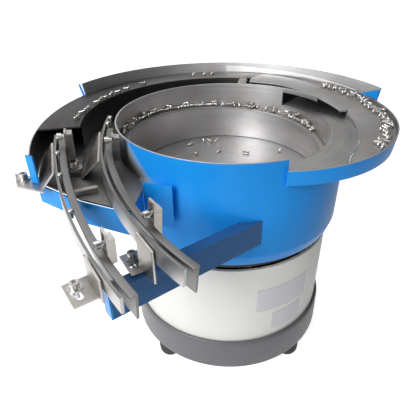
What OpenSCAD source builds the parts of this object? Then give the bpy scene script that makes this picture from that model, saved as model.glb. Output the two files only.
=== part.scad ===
// Vibratory bowl feeder: drive unit on four rubber feet, stepped stainless bowl,
// outer selection tray and two sloping discharge rails.
// The origin is on the drive's vertical axis, in the plane that the feet stand on.

/* [Drive unit] */
// Height of each rubber foot
foot_h = 28; // [26:1:30]
// Outer radius of the cast base
base_r = 151; // [150.5:0.5:153]
// Height of the cast base
base_h = 52; // [50:1:54]
// Outer radius of the sheet-metal cover
cover_r = 145; // [143:1:146]
// Height of the cover's top edge above the floor
cover_top = 208; // [206:1:209]

/* [Bowl] */
// Outer radius of the bowl's cylindrical wall
bowl_r = 153.6; // [152:0.2:154]
// Height of the bowl's rim above the floor
rim_z = 360; // [359:1:362]
// Height of the bowl's inside floor above the floor
floor_z = 274; // [270:1:276]
// Thickness of the bowl's sheet
sheet_t = 2; // [1.5:0.5:2]

/* [Tray] */
// Height of the tray's outer wall at its highest
tray_top = 358; // [356:1:359]
// Height of the guard's top edge
guard_top = 374; // [370:1:380]
// Height of the pan's floor on the left
pan_z = 322; // [320:1:324]

/* [Discharge rails] */
// Width of the slot that the screws hang in
slot_w = 3.3; // [3.2:0.1:3.6]
// Height of each rail's outer bar
bar_h = 21; // [19:1:23]
// Height of each rail's hold-down angle
angle_h = 33; // [30:1:34]

/* [Hidden] */
$fn = 96;
eps = 0.01;
fit_gap = 0.3;

// Radii and heights that follow from the driving dimensions
base_top = foot_h + base_h;
foot_pcr = 132;
foot_n = 4;
foot_first = 48;
foot_r = 17;
gland_z = foot_h + 28;
cavity_r = 125;
spring_n = 3;
spring_r = 104;
spring_foot = foot_h + 34;
spring_head = cover_top - 22;
plate_z = cover_top + 3.5;
plate_t = 10.5;
bowl_z = plate_z + plate_t;
cone_h = 14;
bowl_foot_r = bowl_r - 4.1;
bowl_in = bowl_r - sheet_t;
exit_a = -66;
exit_z = 346;
shelf_z = exit_z;
track_z = 359;
track_in = 196;

// Tray wall: three arcs that meet without a kink, each [centre, inner radius, first angle,
// last angle]; they join on the lines through their centres
wall_c = [[49.8, 26.5], [-7, 0], [52, -14]];
wall_r = 235;
to_a = wall_c[0] - wall_c[1];
to_c = wall_c[2] - wall_c[1];
join_ab = atan2(to_a.y, to_a.x);
join_bc = 180 + atan2(to_c.y, to_c.x);
arc_a = [wall_c[0], wall_r - norm(to_a), -86.3, join_ab];
arc_b = [wall_c[1], wall_r, join_ab, join_bc];
arc_c = [wall_c[2], wall_r + norm(to_c), join_bc, 204.2];
lean = 3;

// Discharge rails: [centre, radius of the slot, tilt, direction of tilt, first angle, last angle]
rail_1 = [[293, 60, 338.4], 519.4, 9.6, -61, 195.4, 224.3];
rail_2 = [[192, -6.6, 329.6], 352, 7.1, -42.5, 181.3, 230.6];
bar_t = 3;
flange_w = 7.5;
flange_t = 2.5;

// Beam: a flat box section that carries the lower brackets
beam_a = 220.7;
beam_start = [39, -148.5];
beam_l = 188;
beam_w = 14;
beam_h = 33;
beam_top = 288;

// --- geometry helpers -------------------------------------------------------------

function dot2(a, b) = a.x * b.x + a.y * b.y;
function clamp01(v) = min(1, max(0, v));
function smooth(v) = let (s = clamp01(v)) s * s * (3 - 2 * s);
function ramp(a, a0, a1, v0, v1) = v0 + (v1 - v0) * smooth((a - a0) / (a1 - a0));

// Distance from the axis to a circle (centre c, radius r) along azimuth a
function circle_at(c, r, a) =
    let (u = c.x * cos(a) + c.y * sin(a)) u + sqrt(r * r - dot2(c, c) + u * u);

// Inner face of the tray wall along azimuth a, a from -66 to 212
function wall_at(a) =
    a < 25.7 ? circle_at(arc_a[0], arc_a[1], a)
    : a < 167 ? circle_at(arc_b[0], arc_b[1], a)
    : circle_at(arc_c[0], arc_c[1], a);

// Outer edge of the tracks beside the tray wall, clear of its lean
function wall_in(a) = wall_at(a) - (a < 25.7 ? 2.2 : fit_gap);

// Radius of the spiral track's inner edge, from the run-up (negative angles) to the exit
function ledge_in(a) = 126 + 13 * smooth((a + 10) / 130);
// Height of the spiral track: a steep hidden run-up, then the gentle main turn
function ledge_z(a) = a < 0 ? 314 + 0.2 * a : 314 + (exit_z - 314) * a / (360 + exit_a);
// Inner edge of the return shelf: it leaves the track's edge and joins the bowl wall
function shelf_in(a) =
    a < -17 ? 132.5 + 7.5 * pow(clamp01((-17 - a) / 49), 2)
    : 132.5 + (bowl_in - 132.5) * smooth((a - 5) / 55);
// Boundary between the return shelf and the outer track
function edge_at(a) = min(wall_in(a),
    a < 12 ? 168 + 40 * pow(clamp01((-30 - a) / 25), 2) : 168 + 70 * (a - 12) / 68);
// Height of the outer track
function outer_z(a) = ramp(a, -60, 85, exit_z - 3, track_z);
// Inner edge of the selector plate
function selector_in(a) =
    lookup(a, [[10, 155.5], [27, 156.5], [40, 157.5], [54, 164], [66, 170.5], [79, 172]]);
// Height of the return shelf, which falls towards the window
function shelf_h(a) = ramp(a, 5, 45, shelf_z, 333);

// A curved plate: angles a0..a1, inner and outer radii and top height given per station
module swept_plate(stations, t) {
    n = len(stations);
    pts = [for (s = stations) each [
        [s[1] * cos(s[0]), s[1] * sin(s[0]), s[3] - t],
        [s[2] * cos(s[0]), s[2] * sin(s[0]), s[3] - t],
        [s[2] * cos(s[0]), s[2] * sin(s[0]), s[3]],
        [s[1] * cos(s[0]), s[1] * sin(s[0]), s[3]]]];
    sides = [for (i = [0 : n - 2], k = [0 : 3]) each [
        [4 * i + k, 4 * i + (k + 1) % 4, 4 * i + 4 + k],
        [4 * i + (k + 1) % 4, 4 * i + 4 + (k + 1) % 4, 4 * i + 4 + k]]];
    last = 4 * (n - 1);
    ends = [[0, 2, 1], [0, 3, 2], [last + 2, last, last + 1], [last + 3, last, last + 2]];
    polyhedron(pts, concat(sides, ends));
}

// A wall standing on a curve: per station an angle, a radius, a bottom and a top height
module swept_wall(stations, t) {
    n = len(stations);
    pts = [for (s = stations) each [
        [s[1] * cos(s[0]), s[1] * sin(s[0]), s[2]],
        [(s[1] + t) * cos(s[0]), (s[1] + t) * sin(s[0]), s[2]],
        [(s[1] + t) * cos(s[0]), (s[1] + t) * sin(s[0]), s[3]],
        [s[1] * cos(s[0]), s[1] * sin(s[0]), s[3]]]];
    sides = [for (i = [0 : n - 2], k = [0 : 3]) each [
        [4 * i + k, 4 * i + (k + 1) % 4, 4 * i + 4 + k],
        [4 * i + (k + 1) % 4, 4 * i + 4 + (k + 1) % 4, 4 * i + 4 + k]]];
    last = 4 * (n - 1);
    ends = [[0, 2, 1], [0, 3, 2], [last + 2, last, last + 1], [last + 3, last, last + 2]];
    polyhedron(pts, concat(sides, ends));
}

// Ring of rectangular or sloped section about any centre
module arc_band(c, a0, a1, section) {
    translate([c.x, c.y, 0]) rotate([0, 0, a0]) rotate_extrude(angle = a1 - a0) polygon(section);
}

module ring(r_out, r_in, z0, z1) {
    translate([0, 0, z0]) difference() {
        cylinder(h = z1 - z0, r = r_out);
        translate([0, 0, -1]) cylinder(h = z1 - z0 + 2, r = r_in);
    }
}

module round_place(n, r, first = 0) {
    for (i = [0 : n - 1]) rotate([0, 0, first + i * 360 / n]) translate([r, 0, 0]) children();
}

// Socket cap screw, head upwards, its seat at z = 0
module cap_screw(d, l) {
    difference() {
        union() {
            cylinder(h = d, r = 0.78 * d);
            translate([0, 0, -l]) cylinder(h = l + eps, r = d / 2);
        }
        translate([0, 0, 0.45 * d]) cylinder(h = d, r = 0.48 * d, $fn = 6);
    }
}

module washer(r_out, r_in, t) {
    difference() {
        cylinder(h = t, r = r_out);
        translate([0, 0, -1]) cylinder(h = t + 2, r = r_in);
    }
}

// --- drive unit -------------------------------------------------------------------

module rubber_feet() {
    color("#3a3a3c") round_place(foot_n, foot_pcr, foot_first) difference() {
        union() {
            cylinder(h = 6, r1 = foot_r - 3, r2 = foot_r);
            translate([0, 0, 6]) cylinder(h = foot_h - 6, r = foot_r);
        }
        translate([0, 0, -1]) cylinder(h = 15, r = 3.4);
    }
}

module foot_bolts() {
    color("#8c8f92") round_place(foot_n, foot_pcr, foot_first)
        translate([0, 0, foot_h + eps]) cylinder(h = 20, r = 4);
}

module base_casting() {
    color("#6f6d70") difference() {
        rotate_extrude() polygon([
            [18, foot_h], [base_r - 2, foot_h], [base_r, foot_h + 2], [base_r - 0.8, base_top - 5],
            [base_r - 1.6, base_top - 2.2], [base_r - 2.6, base_top - 0.7], [base_r - 4, base_top],
            [cavity_r, base_top], [cavity_r, foot_h + 18], [18, foot_h + 18]]);
        round_place(foot_n, foot_pcr, foot_first) translate([0, 0, foot_h - 1]) cylinder(h = 23, r = 4.2);
        // groove that locates the cover
        ring(cover_r + 0.2, cover_r - 1.7, base_top - 6, base_top + 1);
        // gland hole at the back
        translate([0, base_r + 2, gland_z]) rotate([90, 0, 0]) cylinder(h = 60, r = 8.2);
    }
}

module cover() {
    color("#f2f1ec") ring(cover_r, cover_r - 1.5, base_top - 5.8, cover_top);
}

module cable_gland() {
    color("#2b2b2d") translate([0, base_r, gland_z]) rotate([-90, 0, 0]) difference() {
        union() {
            translate([0, 0, -22]) cylinder(h = 23, r = 8);
            translate([0, 0, 0.4]) cylinder(h = 5, r = 12, $fn = 6);
            translate([0, 0, 5.4]) cylinder(h = 7, r1 = 10, r2 = 8.5);
        }
        translate([0, 0, -23]) cylinder(h = 40, r = 4);
    }
}

// Leaf-spring packs lean so that the bowl climbs as it twists
spring_w = 34;
spring_lean = 20;
block_h = 26;
spring_t = 6;

module lower_blocks() {
    color("#4a4c50") round_place(spring_n, spring_r, 30) difference() {
        translate([-spring_w / 2, -14, foot_h + 18]) cube([spring_w, 28, block_h]);
        for (x = [-9, 9]) translate([x, -15, foot_h + 34]) rotate([-90, 0, 0]) cylinder(h = 30, r = 4.1);
    }
}

module lower_bolts() {
    color("#9a9da1") round_place(spring_n, spring_r, 30)
        for (x = [-9, 9]) translate([x, 14 + spring_t + 3, foot_h + 34])
            rotate([-90, 0, 0]) cap_screw(8, 30);
}

module leaf_springs() {
    z0 = foot_h + 21;
    z1 = spring_head + 16;
    color("#7d8085") round_place(spring_n, spring_r, 30)
        translate([0, 14 + fit_gap, 0]) difference() {
            translate([-spring_w / 2 + 1, 0, z0]) cube([spring_w - 2, spring_t, z1 - z0]);
            for (x = [-9, 9], z = [foot_h + 34, spring_head + 4])
                translate([x, -1, z]) rotate([-90, 0, 0]) cylinder(h = spring_t + 2, r = 4.1);
        }
}

module magnet_bracket() {
    color("#55585c") translate([-26, -30, foot_h + 18]) difference() {
        cube([52, 60, 12]);
        for (x = [8, 44], y = [8, 52]) translate([x, y, -1]) cylinder(h = 14, r = 3.2);
    }
}

core_z = foot_h + 30;
core_h = 58;

module magnet_core() {
    color("#6d6f73") translate([-24, -20, core_z]) difference() {
        cube([48, 40, core_h]);
        for (x = [8, 31]) translate([x, -1, 12]) cube([9, 42, core_h]);
    }
}

module magnet_coil() {
    color("#8a4b2a") translate([0, 0, core_z + 13]) difference() {
        translate([-15.6, -29, 0]) cube([31.2, 58, 38]);
        translate([-7.2, -20.3, -1]) cube([14.4, 40.6, 40]);
    }
}

module armature() {
    color("#74777b") translate([-24, -20, core_z + core_h + 2]) cube([48, 40, 14]);
}

module top_frame() {
    color("#4a4c50") difference() {
        union() {
            translate([0, 0, spring_head + 8]) cylinder(h = plate_z - spring_head - 8, r = 62);
            for (i = [0 : spring_n - 1]) rotate([0, 0, 30 + i * 120]) {
                translate([0, -13, spring_head + 8]) cube([spring_r + 12, 26, plate_z - spring_head - 8]);
                translate([spring_r - spring_w / 2, -14, spring_head - 8])
                    cube([spring_w, 28, plate_z - spring_head + 8]);
            }
            translate([-24, -20, core_z + core_h + 16])
                cube([48, 40, spring_head + 9 - core_z - core_h - 16]);
        }
        translate([0, 0, spring_head + 2]) cylinder(h = 40, r = 6.2);
        for (i = [0 : spring_n - 1], x = [-9, 9]) rotate([0, 0, 30 + i * 120])
            translate([spring_r + x, -15, spring_head + 4]) rotate([-90, 0, 0]) cylinder(h = 30, r = 4.1);
    }
}

module upper_bolts() {
    color("#9a9da1") round_place(spring_n, spring_r, 30)
        for (x = [-9, 9]) translate([x, 14 + spring_t + 3, spring_head + 4])
            rotate([-90, 0, 0]) cap_screw(8, 30);
}

module mounting_plate() {
    color("#141416") difference() {
        translate([0, 0, plate_z]) cylinder(h = plate_t, r = 141);
        translate([0, 0, plate_z - 1]) cylinder(h = plate_t + 2, r = 6.5);
        round_place(3, 120, 90) translate([0, 0, plate_z - 1]) cylinder(h = plate_t + 2, r = 4.5);
    }
}

module centre_bolt() {
    color("#b8babd") translate([0, 0, floor_z + 5]) union() {
        cylinder(h = 6, r = 11, $fn = 6);
        translate([0, 0, -(floor_z + 5 - plate_z) - 8]) cylinder(h = floor_z + 13 - plate_z + eps, r = 6);
    }
}

module centre_washer() {
    color("#c4c6c8") translate([0, 0, floor_z + 2]) washer(24, 6.5, 3);
}

// --- bowl -------------------------------------------------------------------------

module bowl_base() {
    color("#8f9194") difference() {
        translate([0, 0, bowl_z]) cylinder(h = 5, r = bowl_foot_r - sheet_t - 0.2);
        translate([0, 0, bowl_z - 1]) cylinder(h = 7, r = 6.5);
    }
}

window_a = 32;
window_b = 57;
window_z = 330.5;
bridge_z = 353;

function band(r0, r1, z0, z1) = [[r0, z0], [r1, z0], [r1, z1], [r0, z1]];

module bowl_shell() {
    color("#1e82e0") difference() {
        rotate_extrude() polygon([
            [bowl_foot_r, bowl_z], [bowl_r, bowl_z + cone_h], [bowl_r, rim_z], [bowl_in, rim_z],
            [bowl_in, bowl_z + cone_h], [bowl_foot_r - sheet_t, bowl_z]]);
        // the wall is cut down from the exit to the window, which keeps a bridge above it
        difference() {
            arc_band([0, 0], exit_a, window_b, band(bowl_in - 3, bowl_r + 3, window_z, rim_z + 5));
            arc_band([0, 0], window_a, window_b + 2, band(bowl_in - 5, bowl_r + 5, bridge_z, rim_z + 9));
        }
    }
}

module bowl_floor() {
    color("#b3b5b7") difference() {
        rotate_extrude() polygon([
            [6.5, floor_z], [24, floor_z], [129.5, floor_z - 2],
            [bowl_in - fit_gap, floor_z - 2], [bowl_in - fit_gap, floor_z], [129.5, floor_z],
            [24, floor_z + 2], [6.5, floor_z + 2]]);
        translate([0, 0, floor_z]) cylinder(h = 20, r = 6.5);
    }
}

// Wall under the spiral track's inner edge: it stands on the floor for one turn and
// then on the run-up
module inner_wall() {
    color("#a9abae") swept_wall([for (a = [-174 : 6 : 360 + exit_a])
        [a, ledge_in(a) - 1.6, a < 180 ? floor_z + 0.7 : ledge_z(a - 360) + 0.1, ledge_z(a) - 2.2]], 1.6);
}

// Outer edge of the spiral track: the next turn's wall, the step wall, then the bowl's wall
function ledge_out(a) =
    (a < exit_a ? ledge_in(a + 360) - 1.6 : a < 60 ? shelf_in(a) : bowl_in) - fit_gap;

module spiral_track() {
    first = -180;
    last = 360 + exit_a;
    color("#bcbec0") swept_plate([for (i = [0 : 78]) let (a = first + (last - first) * i / 78)
        [a, ledge_in(a) - 1.6, ledge_out(a), ledge_z(a)]], 2);
}

// Wall that rises from the track below to the return shelf on the right
module step_wall() {
    color("#a9abae") swept_wall([for (a = [-65 : 5 : 45])
        [a, shelf_in(a), ledge_z(a) - 2, shelf_h(a) - 2.1]], 1.5);
}

module return_shelf() {
    color("#a4a6a8") swept_plate([for (i = [0 : 27]) let (a = exit_a + 1 + i * 4.48)
        [a, shelf_in(a), max(shelf_in(a) + 1, edge_at(a) - fit_gap), shelf_h(a)]], 2);
}

// Closed floor under the selector: parts that drop off slide from here through the window
module catch_floor() {
    color("#5c5e60") intersection() {
        arc_band([0, 0], 56.4, 81, band(bowl_r + 0.5, 250, 331, 333));
        translate([arc_b[0].x, arc_b[0].y, 325]) cylinder(h = 20, r = arc_b[1] - fit_gap);
    }
}

// --- tray -------------------------------------------------------------------------

module outer_track() {
    color("#9c9ea0") swept_plate(concat(
        [for (a = [-48 : 4 : 76]) [a, min(edge_at(a), wall_in(a) - 1), wall_in(a), outer_z(a)]],
        [for (a = [80 : 5 : 195]) [a, track_in + 0.2, wall_at(a) - fit_gap, outer_z(a)]]), 2);
}

// Raised lip along the step between the shelf and the outer track, and the wall that
// carries on below the selector
module track_edge() {
    color("#c9cbcd") {
        swept_wall([for (a = [-40 : 4 : 12])
            [a, edge_at(a) - 1.7, shelf_h(a) + 0.1, max(shelf_h(a) + 1.5, outer_z(a) + 1.2)]], 1.5);
        swept_wall([for (a = [13 : 4 : 53])
            [a, edge_at(a) - 1.9, shelf_h(a) + 0.1, ramp(a, 12, 60, 355.5, track_z) - 2.6]], 1.5);
    }
}

module selector_plate() {
    color("#c4c6c8") swept_plate(concat([for (a = [12 : 4 : 76])
        [a, selector_in(a), max(selector_in(a) + 2, min(edge_at(a), wall_in(a) - 1) - fit_gap),
            ramp(a, 12, 60, 355.5, track_z)]],
        [[80, 172, track_in - 0.1, track_z]]), 2);
}

module notch_block() {
    color("#9a9c9e") rotate([0, 0, 84]) translate([bowl_r + 0.6, -7, 355]) {
        cube([track_in - bowl_r - 1, 14, 3]);
        translate([track_in - bowl_r - 10, 0, 0]) cube([9, 14, 8]);
    }
}

// Vertical skirt below the inner edge of the back track
module track_skirt() {
    color("#5c5e60") swept_wall([for (a = [82 : 6 : 190])
        [a, track_in + 0.2, pan_z + 0.1, track_z - 2.1]], 1.8);
}

// The wall's return beside the bowl's exit, from the bowl's side to the wall
exit_in = (bowl_r + 0.5) * [cos(exit_a), sin(exit_a)];
exit_out = arc_a[0] + (arc_a[1] - 1.2) * [cos(arc_a[2]), sin(arc_a[2])];

// Section of the tray wall: leaning out slightly, with a rounded top
function wall_section(r, z0, z1, t, out) =
    [[r - out, z0], [r - out + t, z0], [r + t, z1], [r, z1]];

module tray_wall_front() {
    color("#1e82e0") {
        difference() {
            arc_band(arc_a[0], arc_a[2], arc_a[3] - 0.01, wall_section(arc_a[1], 330, 358, sheet_t, lean));
            // the top edge falls towards the bowl's exit
            translate([0, -150, 349]) rotate([1.9, 0, 0]) translate([-20, -60, 0]) cube([320, 320, 40]);
        }
        // short return that closes the wall towards the bowl
        upright(exit_in, exit_out, 330, 348.6, sheet_t);
    }
}

module tray_wall_back() {
    color("#1e82e0") difference() {
        arc_band(arc_b[0], arc_b[2], arc_b[3], wall_section(arc_b[1], pan_z - 2, tray_top, sheet_t, 0));
        arc_band(arc_b[0], arc_b[2] - 2, 75, band(arc_b[1] - 3, arc_b[1] + 5, pan_z - 5, 330));
    }
}

module tray_wall_left() {
    color("#1e82e0") difference() {
        arc_band(arc_c[0], arc_c[2] + 0.01, arc_c[3],
            wall_section(arc_c[1], pan_z - 2, tray_top, sheet_t, 0));
        // recess over the foot of the first rail's bracket
        translate([-240, -150, pan_z - 4]) cube([40, 38, 7]);
    }
}

module guard() {
    color("#8f9193") arc_band(arc_b[0], 19.6, 158, [
        [arc_b[1] + sheet_t + 0.3, tray_top - 12], [arc_b[1] + sheet_t + 1.6, tray_top - 12],
        [arc_b[1] + sheet_t + 1.6, tray_top], [arc_b[1] + 7, guard_top], [arc_b[1] + 5.5, guard_top],
        [arc_b[1] + sheet_t + 0.3, tray_top]]);
}

// Triangular sheets that close the guard's ends, in the wall's own curve
module guard_gussets() {
    r0 = arc_b[1] + sheet_t + 0.3;
    color("#2a6fc4") {
        swept_wall([for (i = [0 : 8]) let (f = i / 8, a = 19.6 + 9 * f)
            [a, wall_at(a) + 0.2, tray_top + 0.1, tray_top + 0.6 + 14.5 * (1 - f)]], 1.2);
        translate([arc_b[0].x, arc_b[0].y, 0]) rotate([0, 0, 158.4]) rotate([90, 0, 0])
            translate([0, 0, -0.8]) linear_extrude(1.6) polygon([
                [r0 + 1.5, tray_top - 10], [r0 + 9.5, guard_top - 1], [r0 + 6.9, guard_top - 1],
                [r0 + 1.5, tray_top + 0.5]]);
    }
}

// Pale strip that guides the parts on the back track; it narrows towards the right
module guide_strip() {
    n = 16;
    color("#dcdedf") translate([arc_b[0].x, arc_b[0].y, 0]) swept_wall([for (i = [0 : n])
        let (a = 30 + 61 * i / n, f = i / n)
        [a, arc_b[1] - 2.2, track_z + 0.6, track_z + 2 + 9.6 * f]], 1.2);
}

// Plan of the pan on the left: the front sheet's corner points
pan_left = [-219, -134];
pan_bend = [-158, -170];
pan_right = [-98, -192];
pan_inner = [-96, -143];
flap_left = [-95.5, -143];
flap_right = [-62, -149.6];

module pan_floor() {
    color("#3e3e3f") translate([0, 0, pan_z - 2]) difference() {
        union() {
            intersection() {
                translate([arc_b[0].x, arc_b[0].y, 0]) cylinder(h = 2, r = arc_b[1] - fit_gap);
                translate([-260, 0, -1]) cube([300, 300, 4]);
            }
            linear_extrude(2) polygon(concat(
                [for (a = [165 : 4 : 209]) (wall_at(a) - 0.8) * [cos(a), sin(a)]],
                [pan_left + [3, 2], pan_bend + [1, 2.5], pan_right + [0, 3], pan_inner,
                    [-110, -100], [-100, 40]]));
        }
        translate([0, 0, -1]) cylinder(h = 4, r = bowl_r + 0.4);
    }
}

// Upright sheet between two plan points
module upright(p, q, z0, z1, t) {
    d = q - p;
    translate([p.x, p.y, z0]) rotate([0, 0, atan2(d.y, d.x)]) cube([norm(d), t, z1 - z0]);
}

module pan_front() {
    color("#2f95e8") difference() {
        translate([0, 0, 293]) linear_extrude(pan_z - 295.1) polygon([
            pan_left, pan_bend, pan_right, pan_inner, pan_inner + [-2, 0], pan_right + [-2, 2.87],
            pan_bend + [0.86, 1.81], pan_left + [1.02, 1.72]]);
        // the left part is less deep
        translate([-240, -200, 280]) cube([82, 90, 17.5]);
    }
}

module flap() {
    color("#2f8be0") upright(flap_left, flap_right, 276, 330, sheet_t);
}

module end_strip() {
    color("#2f95e8") translate([-222.2, -135.4, pan_z + 3.2]) rotate([0, 0, -25])
        translate([0, -2, 0]) cube([10.8, 2, tray_top - pan_z - 3.2]);
}

// --- beam and rails ---------------------------------------------------------------

module box_beam() {
    color("#24588f") difference() {
        translate([beam_start.x, beam_start.y, beam_top - beam_h]) rotate([0, 0, beam_a])
            translate([-14, -beam_w, 0]) difference() {
                cube([beam_l + 14, beam_w, beam_h]);
                translate([30, 2, 2]) cube([beam_l, beam_w - 4, beam_h - 4]);
            }
        translate([0, 0, 174]) cylinder(h = 160, r = bowl_r + 0.1);
    }
}

module beam_cap() {
    color("#1f6fc0") translate([beam_start.x, beam_start.y, beam_top - beam_h]) rotate([0, 0, beam_a])
        translate([beam_l + 0.1, -beam_w, 0]) cube([2, beam_w, beam_h]);
}

// Places children in a rail's own tilted frame, at its slot, at angle a:
// x points out of the curve, y along the travel, z up from the top face
module on_rail(rail, a) {
    translate(rail[0]) rotate(a = rail[2], v = [-sin(rail[3]), cos(rail[3]), 0])
        rotate([0, 0, a]) translate([rail[1], 0, 0]) children();
}

module rail_sweep(rail, a0, a1, section) {
    translate(rail[0]) rotate(a = rail[2], v = [-sin(rail[3]), cos(rail[3]), 0])
        rotate([0, 0, a0]) rotate_extrude(angle = a1 - a0, $fn = 180)
            translate([rail[1], 0]) polygon(section);
}

half_slot = slot_w / 2;
bar_section = [[half_slot, -bar_h], [half_slot + bar_t, -bar_h], [half_slot + bar_t, 0], [half_slot, 0]];

// Angle section with a leg of depth h; the leg is cut back where it passes over the pan
function angle_section(h) = let (x = -half_slot - flange_w)
    [[x, -h], [x + 2.5, -h], [x + 2.5, -flange_t], [-half_slot, -flange_t], [-half_slot, 0], [x, 0]];

module rail_angle(rail, a0, a1, a2) {
    x = -half_slot - flange_w;
    difference() {
        rail_sweep(rail, a0, a2, angle_section(angle_h));
        rail_sweep(rail, a0 - 1, a1, band(x - 1, x + 4, -angle_h - 1, -13));
    }
}

module rail_1_bar() {
    color("#a7a9ab") rail_sweep(rail_1, rail_1[4], rail_1[5], bar_section);
}

module rail_1_angle() {
    color("#7b7d80") rail_angle(rail_1, rail_1[4] + 0.8, 207.6, rail_1[5] + 0.5);
}

module rail_2_bar() {
    color("#a7a9ab") rail_sweep(rail_2, rail_2[4], rail_2[5], bar_section);
}

module rail_2_angle() {
    color("#7b7d80") rail_angle(rail_2, 187.3, 214, rail_2[5] + 0.7);
}

// Foot of a bracket: corner, direction of its long side, size, a hole and a slot
module bracket_foot(p, a, size, slots, z) {
    translate([p.x, p.y, z]) rotate([0, 0, a]) difference() {
        cube([size.x, size.y, 2.5]);
        for (s = slots) translate([s[0], s[1], -1]) {
            cylinder(h = 5, r = s[2]);
            translate([s[3], 0, 0]) cylinder(h = 5, r = s[2]);
            if (s[3] > 0) translate([0, -s[2], 0]) cube([s[3], 2 * s[2], 5]);
        }
    }
}

// Point in a rail's own frame (angle, distance outwards, height) in the common frame
function rail_pt(rail, a, x, z) = let (
        u = [cos(rail[3]), sin(rail[3]), 0], v = [-sin(rail[3]), cos(rail[3]), 0],
        q = (rail[1] + x) * [cos(a), sin(a), 0], k = [0, 0, 1])
    rail[0] + (q * u) * (u * cos(rail[2]) - k * sin(rail[2])) + (q * v) * v
        + z * (k * cos(rail[2]) + u * sin(rail[2]));

// Flat web 2.4 mm thick through four corner points
module web(corners) {
    hull() for (c = corners) translate(c) cylinder(h = 1, r = 1.2, center = true, $fn = 12);
}

web_x = half_slot + bar_t + 2.2;

// Web that stands beside a rail's bar between two angles, down to height z
module rail_web(rail, a0, a1, z) {
    p = rail_pt(rail, a0, web_x, -3);
    q = rail_pt(rail, a1, web_x, -7);
    web([p, q, [p.x, p.y, z + 1], [q.x, q.y, z + 1]]);
}

module bracket_1a() {
    color("#b0b2b4") {
        translate([0, 0, pan_z + 0.1]) linear_extrude(2.5) difference() {
            polygon([[-252, -117], [-236.5, -146], [-201.5, -158], [-218.5, -127]]);
            hull() for (p = [[-237, -126], [-233, -134]]) translate(p) circle(r = 3.3);
        }
        web([[-217.5, -131, pan_z + 1], [-205.5, -153, pan_z + 1],
            rail_pt(rail_1, 197, web_x, -3), rail_pt(rail_1, 203.5, web_x, -4)]);
    }
}

module bracket_1b() {
    color("#b0b2b4") {
        bracket_foot([-149, -266], -51.5, [33, 26], [[11, 9, 3.3, 0], [19, 9, 3.3, 5]], beam_top + 0.1);
        rail_web(rail_1, 217.8, 221, beam_top + 0.3);
    }
}

module bracket_2a() {
    color("#9a9c9e") web([[-172, -98, pan_z + 0.7], [-170.5, -122, pan_z + 0.7],
        rail_pt(rail_2, 188.5, web_x + 0.6, -3), rail_pt(rail_2, 199, web_x + 0.6, -5)]);
}

module bracket_2b() {
    color("#b0b2b4") {
        bracket_foot([-107, -222], -56, [34, 20], [[10, 10, 3.3, 0], [21, 6, 3.3, 0]], beam_top + 0.1);
        rail_web(rail_2, 220.2, 224.4, beam_top + 0.3);
    }
}

module cross_bar() {
    color("#6b655a") upright([-164.5, -163], [-142.5, -152], pan_z + 0.1, pan_z + 6, 6);
}

// Cap screw that holds the rails' base plate
cap_at = [-184.5, -106];

module rail_base_plate() {
    color("#5a5a5b") translate([cap_at.x, cap_at.y, pan_z + 0.1]) rotate([0, 0, 12]) difference() {
        translate([-12, -11, 0]) cube([20, 44, 5]);
        translate([0, 0, -1]) cylinder(h = 8, r = 4.2);
    }
}

// Where the hold-down clamps stand: rail, angle along it, extra height
clamps = [[rail_1, 198, 0], [rail_1, 218.6, 6], [rail_2, 196, 0], [rail_2, 220, 6]];
clamp_x = -half_slot - flange_w - 2.7;

module slotted_plates() {
    color("#b6b0aa") for (c = clamps) on_rail(c[0], c[1]) translate([clamp_x, -5.5, -16]) difference() {
        cube([2.5, 11, 34 + c[2]]);
        translate([-1, 5.5, 25]) rotate([0, 90, 0]) cylinder(h = 5, r = 2.6);
        translate([-1, 5.5, 29 + c[2]]) rotate([0, 90, 0]) cylinder(h = 5, r = 2.6);
        translate([-1, 2.9, 25]) cube([5, 5.2, 4 + c[2]]);
    }
}

module clamp_blocks() {
    color("#8d8884") for (c = clamps) on_rail(c[0], c[1]) translate([clamp_x - 6.1, -5, -14]) difference() {
        cube([6, 10, 30]);
        translate([-1, 5, 25]) rotate([0, 90, 0]) cylinder(h = 8, r = 2.6);
    }
}

module clamp_screws() {
    color("#c8c2bc") for (c = clamps) on_rail(c[0], c[1])
        translate([clamp_x + 5.6, 0, 11]) rotate([0, 90, 0]) cap_screw(5, 12);
}

module bracket_screws() {
    color("#b5b5b6") {
        translate([-149, -266, beam_top + 4.1]) rotate([0, 0, -51.5]) translate([11, 9, 0]) cap_screw(6, 12);
        translate([-107, -222, beam_top + 4.1]) rotate([0, 0, -56]) translate([10, 10, 0]) cap_screw(6, 12);
        translate([-235, -130, pan_z + 4.2]) cap_screw(6, 12);
    }
}

module washers() {
    color("#c8c9ca") {
        translate([-149, -266, beam_top + 2.6]) rotate([0, 0, -51.5]) translate([11, 9, 0])
            washer(7, 3.2, 1.5);
        translate([-107, -222, beam_top + 2.6]) rotate([0, 0, -56]) translate([10, 10, 0])
            washer(6.5, 3.2, 1.5);
        translate([-235, -130, pan_z + 2.7]) washer(7, 3.2, 1.4);
        translate([cap_at.x, cap_at.y, pan_z + 5.2]) washer(10, 4.3, 1.6);
    }
}

module base_cap_screw() {
    color("#b5b5b6") translate([cap_at.x, cap_at.y, pan_z + 6.9]) cap_screw(8, 6.5);
}

module blank_labels() {
    color("#e6e4df") for (l = [[-74, -41, 132, 172], [-64, -44, 92, 124]])
        arc_band([0, 0], l[0], l[1], [[cover_r + 0.05, l[2]], [cover_r + 0.45, l[2]],
            [cover_r + 0.45, l[3]], [cover_r + 0.05, l[3]]]);
}

// --- screws being fed -------------------------------------------------------------

// Small pan-head screw, head upwards, seat of the head at z = 0
module small_screw() {
    cylinder(h = 2.2, r = 2.9, $fn = 24);
    translate([0, 0, -9]) cylinder(h = 9 + eps, r = 1.5, $fn = 24);
}

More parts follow.
